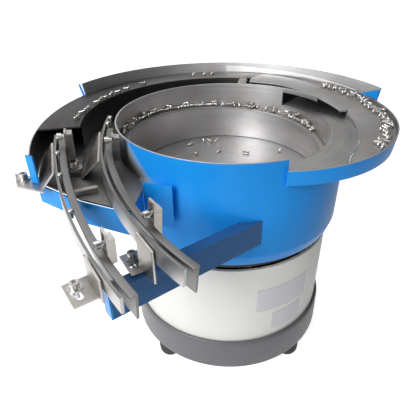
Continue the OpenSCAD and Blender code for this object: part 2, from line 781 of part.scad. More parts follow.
module fed_screws() {
    color("#cfcfce") {
        // lying along the spiral track
        for (i = [0 : 20]) let (a = 26 + i * 7.3)
            rotate([0, 0, a]) translate([ledge_out(a) - 6.5, 0, ledge_z(a) + 3.6])
                rotate([90, 0, 25 * sin(i * 97)]) small_screw();
        // standing along the outer track's edge at the back
        for (i = [0 : 11]) let (a = 96 + i * 8.2)
            rotate([0, 0, a]) translate([track_in + 4, 0, track_z + 3.6]) rotate([90, 0, 10]) small_screw();
        // hanging in the rails
        for (a = [197 : 2.4 : 213]) on_rail(rail_1, a) translate([0, 0, 0.1]) small_screw();
        for (a = [183 : 2.6 : 194]) on_rail(rail_2, a) translate([0, 0, 0.1]) small_screw();
    }
}

// --- nodes ------------------------------------------------------------------------

rubber_feet();
foot_bolts();
base_casting();
cover();
cable_gland();
lower_blocks();
lower_bolts();
leaf_springs();
magnet_bracket();
magnet_core();
magnet_coil();
top_frame();
upper_bolts();
armature();
mounting_plate();
centre_bolt();
centre_washer();
bowl_shell();
bowl_base();
bowl_floor();
inner_wall();
spiral_track();
step_wall();
return_shelf();
catch_floor();
outer_track();
track_edge();
selector_plate();
notch_block();
track_skirt();
tray_wall_front();
tray_wall_back();
tray_wall_left();
guard();
guard_gussets();
guide_strip();
pan_floor();
pan_front();
flap();
end_strip();
box_beam();
beam_cap();
rail_1_bar();
rail_1_angle();
rail_2_bar();
rail_2_angle();
bracket_1a();
bracket_1b();
bracket_2a();
bracket_2b();
cross_bar();
rail_base_plate();
slotted_plates();
clamp_blocks();
clamp_screws();
bracket_screws();
washers();
base_cap_screw();
blank_labels();
fed_screws();
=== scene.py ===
import math
import random

import bmesh
import bpy
from mathutils import Matrix, Vector


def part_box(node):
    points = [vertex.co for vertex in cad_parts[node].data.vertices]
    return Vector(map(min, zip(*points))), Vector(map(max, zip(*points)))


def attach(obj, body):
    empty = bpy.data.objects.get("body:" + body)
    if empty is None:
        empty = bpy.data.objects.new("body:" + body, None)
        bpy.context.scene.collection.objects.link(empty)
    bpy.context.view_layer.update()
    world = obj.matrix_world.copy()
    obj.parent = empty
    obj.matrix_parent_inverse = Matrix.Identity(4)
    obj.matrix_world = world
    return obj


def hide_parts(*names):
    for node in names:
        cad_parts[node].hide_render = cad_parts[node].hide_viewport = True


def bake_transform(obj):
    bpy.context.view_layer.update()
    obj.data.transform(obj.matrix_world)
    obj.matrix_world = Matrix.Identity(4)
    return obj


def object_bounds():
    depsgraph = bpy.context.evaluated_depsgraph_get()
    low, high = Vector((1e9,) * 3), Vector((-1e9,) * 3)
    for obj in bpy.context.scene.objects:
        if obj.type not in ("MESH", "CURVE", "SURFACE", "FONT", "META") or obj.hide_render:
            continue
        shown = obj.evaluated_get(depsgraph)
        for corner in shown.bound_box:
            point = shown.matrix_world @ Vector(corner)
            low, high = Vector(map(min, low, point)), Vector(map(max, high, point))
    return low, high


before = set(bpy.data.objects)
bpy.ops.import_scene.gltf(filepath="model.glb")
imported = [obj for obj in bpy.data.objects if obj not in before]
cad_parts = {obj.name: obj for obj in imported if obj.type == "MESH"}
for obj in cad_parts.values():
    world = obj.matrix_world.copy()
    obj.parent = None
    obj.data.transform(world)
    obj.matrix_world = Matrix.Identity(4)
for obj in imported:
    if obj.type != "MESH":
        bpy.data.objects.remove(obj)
cad_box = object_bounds()
random.seed(7)

MM = 0.001


def box_mm(node):
    lo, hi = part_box(node)
    return [v / MM for v in lo], [v / MM for v in hi]


# ---------------------------------------------------------------- driving sizes (mm)
shell_lo, shell_hi = box_mm("bowl_shell")
BOWL_R = shell_hi[0]
RIM_Z = shell_hi[2]
BOWL_Z = shell_lo[2]
SHEET = 2.0
BOWL_IN = BOWL_R - SHEET
FLOOR_Z = box_mm("bowl_floor")[1][2] - 2.0
TRAY_TOP = box_mm("tray_wall_back")[1][2]
GUARD_TOP = box_mm("guard")[1][2]
PAN_Z = box_mm("pan_floor")[1][2]
EXIT_A, EXIT_Z = -66.0, 346.0
TRACK_Z = box_mm("outer_track")[1][2]
TRACK_IN = 196.0
WIN_A, WIN_B, WIN_Z, BRIDGE_Z = 32.0, 57.0, 330.5, 353.0
SELECTOR_Z = 355.5  # height at which the selector plate starts
FULL_TOP = 358.0  # top of the tray's wall where it isn't cut down
WALL_LOW = 330.0  # lower edge of the tray's wall on the right
LEDGE_LIP = 1.6  # thickness of the ledge's inner wall
COVER_R = box_mm("cover")[1][0]
COVER_TOP = box_mm("cover")[1][2]
BASE_TOP = box_mm("base_casting")[1][2]
BASE_LO = box_mm("base_casting")[0][2]
BASE_R = box_mm("base_casting")[1][0]

# the tray's outer wall is three arcs that run into each other
WALL_C = [(49.8, 26.5), (-7.0, 0.0), (52.0, -14.0)]
WALL_R = 235.0


def offset(a, b):
    return a[0] - b[0], a[1] - b[1]


TO_A, TO_C = offset(WALL_C[0], WALL_C[1]), offset(WALL_C[2], WALL_C[1])
JOIN_AB = math.degrees(math.atan2(TO_A[1], TO_A[0]))
JOIN_BC = 180 + math.degrees(math.atan2(TO_C[1], TO_C[0]))
ARC_A = (WALL_C[0], WALL_R - math.hypot(*TO_A), -86.3, JOIN_AB)
ARC_B = (WALL_C[1], WALL_R, JOIN_AB, JOIN_BC)
ARC_C = (WALL_C[2], WALL_R + math.hypot(*TO_C), JOIN_BC, 204.2)
# rails: centre, slot radius, tilt, direction of tilt, first and last angle
RAIL_1 = ((293.0, 60.0, 338.4), 519.4, 9.6, -61.0, 195.4, 224.3)
RAIL_2 = ((192.0, -6.6, 329.6), 352.0, 7.1, -42.5, 181.3, 230.6)
HALF_SLOT, BAR_T, BAR_H, ANGLE_H, FLANGE_W, FLANGE_T = 1.65, 3.0, 21.0, 33.0, 7.5, 2.5


def cosd(a):
    return math.cos(math.radians(a))


def sind(a):
    return math.sin(math.radians(a))


def clamp01(v):
    return min(1.0, max(0.0, v))


def smooth(v):
    v = clamp01(v)
    return v * v * (3 - 2 * v)


def ramp(a, a0, a1, v0, v1):
    return v0 + (v1 - v0) * smooth((a - a0) / (a1 - a0))


def lookup(a, table):
    if a <= table[0][0]:
        return table[0][1]
    for (x0, y0), (x1, y1) in zip(table, table[1:]):
        if a <= x1:
            return y0 + (y1 - y0) * (a - x0) / (x1 - x0)
    return table[-1][1]


def circle_at(c, r, a):
    u = c[0] * cosd(a) + c[1] * sind(a)
    return u + math.sqrt(r * r - c[0] ** 2 - c[1] ** 2 + u * u)


def selector_z(a):
    return ramp(a, 12, 60, SELECTOR_Z, TRACK_Z)


def wall_at(a):
    arc = ARC_A if a < 25.7 else ARC_B if a < 167 else ARC_C
    return circle_at(arc[0], arc[1], a)


def wall_in(a):
    return wall_at(a) - ramp(a, 20, 32, 2.2, 0.3)


# Paths of the tracks: radius or height (mm) at an angle (degrees) around the bowl
def ledge_in(a):
    return 126 + 13 * smooth((a + 10) / 130)


def ledge_z(a):
    return 314 + 0.2 * a if a < 0 else 314 + (EXIT_Z - 314) * a / (360 + EXIT_A)


def shelf_in(a):
    if a < -17:
        return 132.5 + 7.5 * clamp01((-17 - a) / 49) ** 2
    return 132.5 + (BOWL_IN - 132.5) * smooth((a - 5) / 55)


def edge_at(a):
    bend = 168 + 40 * clamp01((-30 - a) / 25) ** 2 if a < 12 else 168 + 70 * (a - 12) / 68
    return min(wall_in(a), bend)


def outer_z(a):
    return ramp(a, -60, 85, EXIT_Z - 3, TRACK_Z)


def selector_in(a):
    return lookup(a, [(10, 155.5), (27, 156.5), (40, 157.5), (54, 164), (66, 170.5), (79, 172)])


def shelf_h(a):
    return ramp(a, 5, 45, EXIT_Z, 333)


def ledge_out(a):
    if a < EXIT_A:
        return ledge_in(a + 360) - 1.9
    return (shelf_in(a) if a < 60 else BOWL_IN) - 0.3


def rail_point(rail, a, x, z):
    c, radius, tilt, direction = rail[:4]
    u = Vector((cosd(direction), sind(direction), 0))
    v = Vector((-sind(direction), cosd(direction), 0))
    k = Vector((0, 0, 1))
    q = (radius + x) * Vector((cosd(a), sind(a), 0))
    return (Vector(c) + q.dot(u) * (u * cosd(tilt) - k * sind(tilt)) + q.dot(v) * v
            + z * (k * cosd(tilt) + u * sind(tilt)))


def polar(r, a, z):
    return Vector((r * cosd(a), r * sind(a), z))


def steps(a0, a1, step):
    n = max(1, int(round(abs(a1 - a0) / step)))
    return [a0 + (a1 - a0) * i / n for i in range(n + 1)]


# ---------------------------------------------------------------- materials
def principled(name, **inputs):
    m = bpy.data.materials.new(name)
    m.use_nodes = True
    nt = m.node_tree
    bsdf = nt.nodes["Principled BSDF"]
    for key, value in inputs.items():
        bsdf.inputs[key.replace("_", " ")].default_value = value
    return m, nt, bsdf


def node(nt, kind, **props):
    n = nt.nodes.new(kind)
    for key, value in props.items():
        setattr(n, key, value)
    return n


def coords(nt, source, scale, rotation=(0, 0, 0)):
    tex = node(nt, "ShaderNodeTexCoord")
    mapping = node(nt, "ShaderNodeMapping")
    mapping.inputs["Scale"].default_value = scale
    mapping.inputs["Rotation"].default_value = rotation
    nt.links.new(tex.outputs[source], mapping.inputs["Vector"])
    return mapping.outputs["Vector"]


def noise(nt, vector, scale, detail=3.0, rough=0.55):
    n = node(nt, "ShaderNodeTexNoise")
    n.inputs["Scale"].default_value = scale
    n.inputs["Detail"].default_value = detail
    n.inputs["Roughness"].default_value = rough
    nt.links.new(vector, n.inputs["Vector"])
    return n.outputs["Fac"]


def ramp_colour(nt, fac, stops):
    n = node(nt, "ShaderNodeValToRGB")
    ramp_stops = n.color_ramp.elements
    while len(ramp_stops) < len(stops):
        ramp_stops.new(0.5)
    for e, (pos, colour) in zip(ramp_stops, stops):
        e.position = pos
        e.color = (*colour, 1) if len(colour) == 3 else (colour[0],) * 3 + (1,)
    nt.links.new(fac, n.inputs["Fac"])
    return n.outputs["Color"]


def mix_colour(nt, fac, a, b, mode="MIX"):
    n = node(nt, "ShaderNodeMix", data_type="RGBA", blend_type=mode)
    if isinstance(fac, float):
        n.inputs[0].default_value = fac
    else:
        nt.links.new(fac, n.inputs[0])
    nt.links.new(a, n.inputs[6])
    nt.links.new(b, n.inputs[7])
    return n.outputs[2]


def remap(nt, fac, lo, hi, out_lo, out_hi):
    n = node(nt, "ShaderNodeMapRange")
    for key, value in (("From Min", lo), ("From Max", hi), ("To Min", out_lo), ("To Max", out_hi)):
        n.inputs[key].default_value = value
    nt.links.new(fac, n.inputs["Value"])
    return n.outputs["Result"]


def bump(nt, bsdf, height, strength, distance):
    n = node(nt, "ShaderNodeBump")
    n.inputs["Strength"].default_value = strength
    n.inputs["Distance"].default_value = distance
    nt.links.new(height, n.inputs["Height"])
    nt.links.new(n.outputs["Normal"], bsdf.inputs["Normal"])


def shade(colour, k):
    return tuple(c * k for c in colour)


def brushed(name, colour, rough=0.34, source="UV", streak=(6, 700, 1), contrast=0.16, strength=0.12,
            side_shade=None, edge=1.0):
    """Bare sheet or bar with a grain: streaks, cloudy patches from handling, faint bump, and an optional
    painted shade towards one side.
    """
    m, nt, bsdf = principled(name, Metallic=1.0, Specular_Tint=(edge, edge, edge, 1))
    grain = noise(nt, coords(nt, source, streak), 1.0, 4.0, 0.6)
    cloud = noise(nt, coords(nt, "Object", (14, 14, 14)), 1.0, 3.0, 0.5)
    fine = ramp_colour(nt, grain, [(0.3, shade(colour, 1 - contrast)), (0.7, shade(colour, 1 + contrast))])
    patch = ramp_colour(nt, cloud, [(0.3, (0.82, 0.81, 0.80)), (0.65, (1.0, 1.0, 1.0))])
    colour_out = mix_colour(nt, 1.0, fine, patch, "MULTIPLY")
    if side_shade:
        # painted shade: darker towards one side of the feeder, from x0 (dark) to x1 (unshaded), standing in
        # for the shade on the left
        split = node(nt, "ShaderNodeSeparateXYZ")
        nt.links.new(coords(nt, "Object", (1, 1, 1)), split.inputs[0])
        where = remap(nt, split.outputs["X"], side_shade[0] * MM, side_shade[1] * MM, 0, 1)
        painted_shade = ramp_colour(nt, where, [(0.0, (side_shade[2],) * 3), (1.0, (1.0, 1.0, 1.0))])
        colour_out = mix_colour(nt, 1.0, colour_out, painted_shade, "MULTIPLY")
    nt.links.new(colour_out, bsdf.inputs["Base Color"])
    nt.links.new(remap(nt, grain, 0.2, 0.8, rough - 0.06, rough + 0.1), bsdf.inputs["Roughness"])
    bump(nt, bsdf, grain, strength, 0.0004)
    return m


def enamel(name, colour, rough=0.3, bare=None):
    """Sprayed gloss paint: slight colour drift, orange peel, a clear top coat, a bare-metal side darkened
    with painted shade.
    """
    m, nt, bsdf = principled(name, Coat_Weight=0.04, Coat_Roughness=0.2, Specular_IOR_Level=0.16)
    cloud = noise(nt, coords(nt, "Object", (7, 7, 7)), 1.0, 3.0, 0.5)
    peel = noise(nt, coords(nt, "Object", (260, 260, 260)), 1.0, 2.0, 0.5)
    colour_out = ramp_colour(nt, cloud, [(0.3, shade(colour, 0.9)), (0.7, shade(colour, 1.08))])
    if bare:
        # the paint thins out over a ground strip and ends, above the tray floor, at the side; the bare
        # steel there darkens to near black towards the left, which is painted shade
        split = node(nt, "ShaderNodeSeparateXYZ")
        nt.links.new(coords(nt, "Object", (1, 1, 1)), split.inputs[0])
        along = split.outputs["X"]
        # a slanted, slightly wavy border across the shell
        for source, factor in ((split.outputs["Y"], -0.6), (split.outputs["Z"], 1.33), (cloud, 0.02)):
            step_on = node(nt, "ShaderNodeMath", operation="MULTIPLY_ADD")
            nt.links.new(source, step_on.inputs[0])
            step_on.inputs[1].default_value = factor
            nt.links.new(along, step_on.inputs[2])
            along = step_on.outputs[0]
        reach = remap(nt, along, 0.3925, 0.4325, 0, 1)
        # the stops run from near black (painted shade) through grey bare steel to the blue paint
        metal = ramp_colour(nt, reach, [(0.0, (0.06, 0.058, 0.056)), (0.45, (0.22, 0.23, 0.25)),
                                        (0.75, (0.20, 0.36, 0.60)), (1.0, colour)])
        high = remap(nt, split.outputs["Z"], bare * MM, (bare + 8) * MM, 0, 1)
        part = remap(nt, along, 0.4305, 0.4345, 1, 0)
        both = node(nt, "ShaderNodeMath", operation="MULTIPLY")
        nt.links.new(high, both.inputs[0])
        nt.links.new(part, both.inputs[1])
        colour_out = mix_colour(nt, both.outputs[0], colour_out, metal)
    nt.links.new(colour_out, bsdf.inputs["Base Color"])
    nt.links.new(remap(nt, cloud, 0.3, 0.7, rough - 0.05, rough + 0.06), bsdf.inputs["Roughness"])
    bump(nt, bsdf, peel, 0.05, 0.0004)
    return m


def moulded(name, colour, rough=0.6, grain=500, strength=0.25, drift=0.12, **inputs):
    """Plain painted, cast or moulded surface with a fine texture and faint unevenness."""
    m, nt, bsdf = principled(name, **inputs)
    fine = noise(nt, coords(nt, "Object", (grain, grain, grain)), 1.0, 2.0, 0.6)
    cloud = noise(nt, coords(nt, "Object", (11, 11, 11)), 1.0, 4.0, 0.6)
    nt.links.new(ramp_colour(nt, cloud, [(0.3, shade(colour, 1 - drift)), (0.7, shade(colour, 1 + drift))]),
                 bsdf.inputs["Base Color"])
    nt.links.new(remap(nt, fine, 0.3, 0.7, rough - 0.06, rough + 0.08), bsdf.inputs["Roughness"])
    bump(nt, bsdf, fine, strength, 0.0003)
    return m


BLUE = enamel("blue_enamel", (0.012, 0.30, 0.84))
# the bowl's bare side is partly painted shade: its steel darkens to near black towards the left
BOWL_BLUE = enamel("bowl_enamel", (0.012, 0.30, 0.84), bare=296)
# painted shade: a darker, greyer copy of the blue enamel for the beam, which lies in shade under the rails
BEAM_SHADE_BLUE = enamel("blue_enamel_painted_shade", (0.028, 0.125, 0.32), rough=0.42)
WHITE = moulded("white_enamel", (0.86, 0.85, 0.815), rough=0.42, grain=900, strength=0.05, drift=0.03)
GREY = moulded("grey_casting_paint", (0.135, 0.13, 0.142), rough=0.4, grain=420, strength=0.2, drift=0.07)
BLACK = moulded("black_plate_paint", (0.012, 0.012, 0.014), rough=0.45, grain=400, strength=0.2)
RUBBER = moulded("foot_rubber", (0.045, 0.043, 0.042), rough=0.75, grain=600, strength=0.3)
PLASTIC = moulded("gland_plastic", (0.02, 0.02, 0.022), rough=0.5, grain=700, strength=0.2)
LABEL = moulded("label_plate", (0.70, 0.70, 0.73), rough=0.35, grain=800, strength=0.04, drift=0.03)
COIL = moulded("coil_wrapping", (0.18, 0.06, 0.02), rough=0.45, grain=300, strength=0.4)
CAST = moulded("blackened_steel", (0.05, 0.052, 0.058), rough=0.5, grain=260, strength=0.3, Metallic=0.6)
SHEET_STEEL = brushed("stainless_sheet", (0.57, 0.565, 0.565), rough=0.4)
# painted shade: this track steel darkens towards the left of the feeder
TRACK_STEEL = brushed("stainless_track", (0.48, 0.47, 0.465), rough=0.44, side_shade=(-190, 20, 0.32), edge=0.5)
SHELF_STEEL = brushed("stainless_shelf", (0.38, 0.375, 0.37), rough=0.46)
PLATE_STEEL = brushed("stainless_plate", (0.50, 0.495, 0.49), rough=0.42)
PALE_STEEL = brushed("pale_strip", (0.92, 0.92, 0.92), rough=0.5, strength=0.05)
# painted shade: a near-black steel for the track lip, the skirt under the track and the catch floor, which
# lie in shade
SHADE_STEEL = brushed("stainless_painted_shade", (0.10, 0.098, 0.095), rough=0.45)
# painted shade: the inside of the tray wall darkens towards the left of the feeder
WALL_STEEL = brushed("wall_inside", (0.42, 0.415, 0.41), rough=0.42, side_shade=(-190, 50, 0.42), edge=0.5)
GUARD_STEEL = brushed("guard_inside", (0.45, 0.445, 0.445), rough=0.55, edge=0.4)
EDGE_STEEL = brushed("sheared_edge", (0.5, 0.5, 0.5), rough=0.42, strength=0.05)
RAIL_STEEL = brushed("ground_bar", (0.50, 0.49, 0.485), rough=0.38, streak=(10, 900, 1))
ANGLE_STEEL = brushed("ground_angle", (0.20, 0.197, 0.194), rough=0.4, streak=(10, 900, 1))
BRACKET_STEEL = brushed("bent_bracket_sheet", (0.46, 0.44, 0.42), rough=0.36, source="Object",
                        streak=(60, 60, 700))
PAN_STEEL = brushed("pan_sheet", (0.23, 0.228, 0.225), rough=0.42, source="Object", streak=(30, 500, 30))
FIXING = brushed("fixing_steel", (0.6, 0.6, 0.59), rough=0.3, source="Object", streak=(300, 300, 300),
                 strength=0.05)
SCREW = brushed("bright_screw", (0.58, 0.57, 0.555), rough=0.3, source="Object", streak=(400, 400, 400),
                strength=0.05)
SPRING = brushed("spring_sheet", (0.2, 0.2, 0.21), rough=0.4, source="Object", streak=(40, 40, 600))


# ---------------------------------------------------------------- mesh tools
def rounded(points, radius, n=3):
    """Corner points [(x, y, edge tag)] to a ring with rounded corners, tags kept per edge."""
    out = []
    count = len(points)
    for i, (x, y, tag) in enumerate(points):
        px, py = points[i - 1][:2]
        qx, qy = points[(i + 1) % count][:2]
        la, lb = math.hypot(px - x, py - y), math.hypot(qx - x, qy - y)
        r = min(radius, la * 0.45, lb * 0.45)
        ax, ay = x + (px - x) * r / la, y + (py - y) * r / la
        bx, by = x + (qx - x) * r / lb, y + (qy - y) * r / lb
        for k in range(n + 1):
            t = k / n
            out.append(((1 - t) ** 2 * ax + 2 * t * (1 - t) * x + t * t * bx,
                        (1 - t) ** 2 * ay + 2 * t * (1 - t) * y + t * t * by, tag))
    return out


class Piece:
    def __init__(self, name, mats):
        self.name, self.mats = name, mats
        self.verts, self.faces, self.index, self.uvs = [], [], [], []

    def face(self, ids, mat, uv):
        self.faces.append(ids)
        self.index.append(mat)
        self.uvs.extend(uv)

    def loft(self, rings, tags, closed=False, caps=True, cap_mat=None):
        """Rings of points (mm); tags give the material of the side that starts at each point."""
        start, n, m = len(self.verts), len(rings[0]), len(rings)
        for ring in rings:
            self.verts.extend(Vector(p) * MM for p in ring)
        along = [0.0]
        for a, b in zip(rings, rings[1:] + (rings[:1] if closed else [])):
            along.append(along[-1] + (sum((Vector(q) - Vector(p)).length for p, q in zip(a, b)) / n) * MM)
        across = [0.0]
        for i in range(n):
            across.append(across[-1] + (Vector(rings[0][(i + 1) % n]) - Vector(rings[0][i])).length * MM)
        for j in range(m if closed else m - 1):
            k = (j + 1) % m
            for i in range(n):
                i2 = (i + 1) % n
                self.face((start + j * n + i, start + j * n + i2, start + k * n + i2, start + k * n + i),
                          tags[i], [(along[j], across[i]), (along[j], across[i + 1]),
                                    (along[j + 1], across[i + 1]), (along[j + 1], across[i])])
        if caps and not closed:
            mat = tags[0] if cap_mat is None else cap_mat
            for j in (0, m - 1):
                ids = [start + j * n + i for i in range(n)]
                if j == 0:
                    ids.reverse()
                self.face(tuple(ids), mat, [(0.0, across[i % n]) for i in range(n)])

    def sweep(self, frames, corners, radius=0.4, **kw):
        """frames: functions of a 2-D section point giving a 3-D point; corners per frame."""
        rings, tags = [], None
        for place, section in zip(frames, corners):
            ring = rounded(section, radius)
            tags = [t for _, _, t in ring]
            rings.append([place(x, y) for x, y, _ in ring])
        self.loft(rings, tags, **kw)

    def polar_sweep(self, angles, section_at, radius=0.4, centre=(0, 0), **kw):
        def placer(a):
            return lambda x, y: Vector((centre[0] + x * cosd(a), centre[1] + x * sind(a), y))
        self.sweep([placer(a) for a in angles], [section_at(a) for a in angles], radius, **kw)

    def mesh(self, verts, faces, matrix, mat=0):
        start = len(self.verts)
        self.verts.extend(matrix @ Vector(v) for v in verts)
        for f in faces:
            self.face(tuple(start + i for i in f), mat, [(0.0, 0.0)] * len(f))

    def done(self, body, slot_name, *replaced, sharp=32):
        me = bpy.data.meshes.new(self.name)
        me.from_pydata([tuple(v) for v in self.verts], [], self.faces)
        layer = me.uv_layers.new(name="UVMap")
        layer.data.foreach_set("uv", [c for uv in self.uvs for c in uv])
        for m in self.mats:
            me.materials.append(m)
        me.polygons.foreach_set("material_index", self.index)
        me.polygons.foreach_set("use_smooth", [True] * len(me.polygons))
        me.update()
        bm = bmesh.new()
        bm.from_mesh(me)
        bmesh.ops.recalc_face_normals(bm, faces=bm.faces)
        bm.to_mesh(me)
        bm.free()
        me.set_sharp_from_angle(angle=math.radians(sharp))
        ob = bpy.data.objects.new(self.name, me)
        bpy.context.scene.collection.objects.link(ob)
        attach(ob, body)
        if replaced:
            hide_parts(*replaced)
        return ob


def wall(r0, z0, r1, z1, t, tags=(0, 1, 2, 3)):
    """Wall section: bottom at radius r0, top at radius r1; tags: under, outside, top, inside."""
    return [(r0, z0, tags[0]), (r0 + t, z0, tags[1]), (r1 + t, z1, tags[2]), (r1, z1, tags[3])]


def plate(r0, r1, z, t=2.0, tag=0, z1=None):
    top = z if z1 is None else z1
    return [(r0, z - t, tag), (r1, top - t, tag), (r1, top, tag), (r0, z, tag)]


# ---------------------------------------------------------------- drive unit
def lathe(name, mats, profile, body, slot_name, replaced, radius=0.5, n=192, sharp=32):
    p = Piece(name, mats)
    p.polar_sweep([360 * i / n for i in range(n)], lambda a: profile, radius, closed=True)
    return p.done(body, slot_name, *replaced, sharp=sharp)


lathe("cover_sheet", [WHITE], [
    (COVER_R - 1.5, BASE_TOP - 5.8, 0), (COVER_R, BASE_TOP - 5.8, 0), (COVER_R, COVER_TOP, 0),
    (COVER_R - 4.5, COVER_TOP, 0), (COVER_R - 4.5, COVER_TOP - 1.5, 0), (COVER_R - 1.5, COVER_TOP - 1.5, 0),
], "base", "white_paint", ["cover"], 0.9)
lathe("base_body", [GREY], [
    (18, BASE_LO, 0), (BASE_R - 2, BASE_LO, 0), (BASE_R, BASE_LO + 2, 0), (BASE_R - 0.8, BASE_TOP - 5, 0),
    (BASE_R - 2.2, BASE_TOP - 1.2, 0), (BASE_R - 4.2, BASE_TOP, 0),
    (COVER_R + 0.4, BASE_TOP, 0), (COVER_R + 0.4, BASE_TOP - 2.2, 0), (125, BASE_TOP - 2.2, 0),
    (125, BASE_LO + 18, 0), (18, BASE_LO + 18, 0),
], "base", "grey_paint", ["base_casting"], 1.6)

FOOT_PCR = 132  # radius of the circle that the feet stand on
feet = Piece("feet_turned", [RUBBER])
foot_h = box_mm("rubber_feet")[1][2]
for first in (48, 138, 228, 318):
    centre = (FOOT_PCR * cosd(first), FOOT_PCR * sind(first))
    profile = [(3.4, 0, 0), (13.2, 0, 0), (16.6, 6.5, 0), (17, 11, 0), (17, foot_h - 0.1, 0),
               (3.4, foot_h - 0.1, 0)]
    feet.polar_sweep([360 * i / 48 for i in range(48)], lambda a: profile, 2.0, centre=centre, closed=True)
feet.done("base", "rubber", "rubber_feet")

LABEL_INSET = 1.6  # margin outside the plates' border lines
labels = Piece("blank_plates", [LABEL, FIXING])
for a0, a1, z0, z1 in ((-74, -41, 132, 172), (-64, -44, 92, 124)):
    r = COVER_R + 0.05
    labels.polar_sweep(steps(a0, a1, 0.5), lambda a: wall(r, z0, r, z1, 0.35, (0, 0, 0, 0)), 0.1)
    inset = math.degrees(LABEL_INSET / COVER_R)
    for low in (z0 + LABEL_INSET, z1 - LABEL_INSET - 0.5):
        labels.polar_sweep(steps(a0 + inset, a1 - inset, 0.5), lambda a: wall(
            r + 0.3, low, r + 0.3, low + 0.5, 0.09, (1,) * 4), 0.03)
labels.done("base", "label_face", "blank_labels")

# ---------------------------------------------------------------- bowl
OUT_BLUE = (0, 0, 1, 2)
shell = Piece("bowl_wall", [BOWL_BLUE, EDGE_STEEL, SHEET_STEEL])
FOOT_R = BOWL_R - 4.1


def shell_section(top):
    return [(FOOT_R - SHEET, BOWL_Z, 0), (FOOT_R, BOWL_Z, 0), (BOWL_R, BOWL_Z + 14, 0), (BOWL_R, top, 1),
            (BOWL_IN, top, 2), (BOWL_IN, BOWL_Z + 14, 2)]


shell.polar_sweep(steps(WIN_B, 360 + EXIT_A, 1.5), lambda a: shell_section(RIM_Z), 0.5, cap_mat=1)
shell.polar_sweep(steps(EXIT_A, WIN_B, 1.5), lambda a: shell_section(WIN_Z), 0.5)
shell.polar_sweep(steps(WIN_A, WIN_B, 1.5), lambda a: wall(
    BOWL_IN, BRIDGE_Z, BOWL_IN, RIM_Z, SHEET, (2, 0, 1, 2)), 0.5, cap_mat=2)
shell.done("bowl", "blue_paint", "bowl_shell")

floor_disc = Piece("bowl_bottom", [SHEET_STEEL])
CONE_IN, CONE_OUT = 24, 129.5  # the floor falls from its flat centre to its flat rim
floor_profile = [
    (6.6, FLOOR_Z, 0), (CONE_IN, FLOOR_Z, 0), (CONE_OUT, FLOOR_Z - 2, 0), (BOWL_IN - 0.3, FLOOR_Z - 2, 0),
    (BOWL_IN - 0.3, FLOOR_Z, 0), (CONE_OUT, FLOOR_Z, 0), (CONE_IN, FLOOR_Z + 2, 0), (6.6, FLOOR_Z + 2, 0)]
floor_disc.polar_sweep([2 * i for i in range(180)], lambda a: floor_profile, 0.4, closed=True)
floor_disc.done("bowl", "stainless", "bowl_floor", sharp=8)

spiral = Piece("spiral_ledge", [TRACK_STEEL, EDGE_STEEL, SHEET_STEEL])
spiral.polar_sweep(steps(-180, 360 + EXIT_A, 2), lambda a: [
    (ledge_in(a) - LEDGE_LIP, ledge_z(a) - SHEET, 0), (ledge_out(a), ledge_z(a) - SHEET, 0),
    (ledge_out(a), ledge_z(a), 0), (ledge_in(a) - LEDGE_LIP, ledge_z(a), 1)], 0.5)
spiral.done("bowl", "stainless", "spiral_track")

inner = Piece("spiral_wall", [SHEET_STEEL])
inner.polar_sweep(steps(-174, 360 + EXIT_A, 2), lambda a: wall(
    ledge_in(a) - LEDGE_LIP, FLOOR_Z + 0.7 if a < 180 else ledge_z(a - 360) + 0.1,
    ledge_in(a) - LEDGE_LIP, ledge_z(a) - 2.1, LEDGE_LIP, (0,) * 4), 0.2)
inner.done("bowl", "stainless", "inner_wall")

step = Piece("step_face", [SHEET_STEEL])
step.polar_sweep(steps(-65, 45, 2), lambda a: wall(
    shelf_in(a), ledge_z(a) - 2, shelf_in(a), shelf_h(a) - 2.05, 1.5, (0,) * 4), 0.2)
step.done("bowl", "stainless", "step_wall")

shelf = Piece("return_shelf_sheet", [SHELF_STEEL])
SHELF_SPAN = 27 * 4.48  # degrees
shelf.polar_sweep(steps(EXIT_A + 1, EXIT_A + 1 + SHELF_SPAN, 2), lambda a: plate(
    shelf_in(a), max(shelf_in(a) + 1, edge_at(a) - 0.3), shelf_h(a)), 0.5)
shelf.done("bowl", "stainless", "return_shelf")

outer = Piece("outer_track_sheet", [TRACK_STEEL])
outer.polar_sweep(steps(-48, 76, 2), lambda a: plate(
    min(edge_at(a), wall_in(a) - 1), wall_in(a), outer_z(a)), 0.5)
outer.polar_sweep(steps(76, 195, 2), lambda a: plate(
    ramp(a, 74, 81, edge_at(76), TRACK_IN + 0.2), wall_in(a), outer_z(a)), 0.5)
outer.done("bowl", "stainless", "outer_track")

lip = Piece("track_lip", [EDGE_STEEL, SHADE_STEEL])
lip.polar_sweep(steps(-40, 12, 2), lambda a: wall(
    edge_at(a) - 1.7, shelf_h(a) + 0.1, edge_at(a) - 1.7, max(shelf_h(a) + 1.5, outer_z(a) + 1.2), 1.5,
    (0,) * 4), 0.4)
# this run of the lip takes the near-black steel that is painted shade
lip.polar_sweep(steps(13, 53, 2), lambda a: wall(
    edge_at(a) - 1.9, shelf_h(a) + 0.1, edge_at(a) - 1.9, selector_z(a) - 2.6, 1.5,
    (1,) * 4), 0.3)
lip.done("bowl", "stainless", "track_edge")

selector = Piece("selector_sheet", [PLATE_STEEL])
selector.polar_sweep(steps(12, 76, 2) + [80], lambda a: plate(
    selector_in(a),
    max(selector_in(a) + 2, min(edge_at(a), wall_in(a) - 1) - 0.3) if a < 78 else TRACK_IN - 0.1,
    selector_z(a)), 0.5)
selector.done("bowl", "stainless", "selector_plate")

# the skirt under the track takes the near-black steel that is painted shade
skirt = Piece("track_skirt_sheet", [SHADE_STEEL])
skirt.polar_sweep(steps(82, 190, 2), lambda a: wall(
    TRACK_IN + 0.2, PAN_Z + 0.1, TRACK_IN + 0.2, TRACK_Z - 2.1, 1.8, (0,) * 4), 0.3)
skirt.done("bowl", "dark_sheet", "track_skirt")

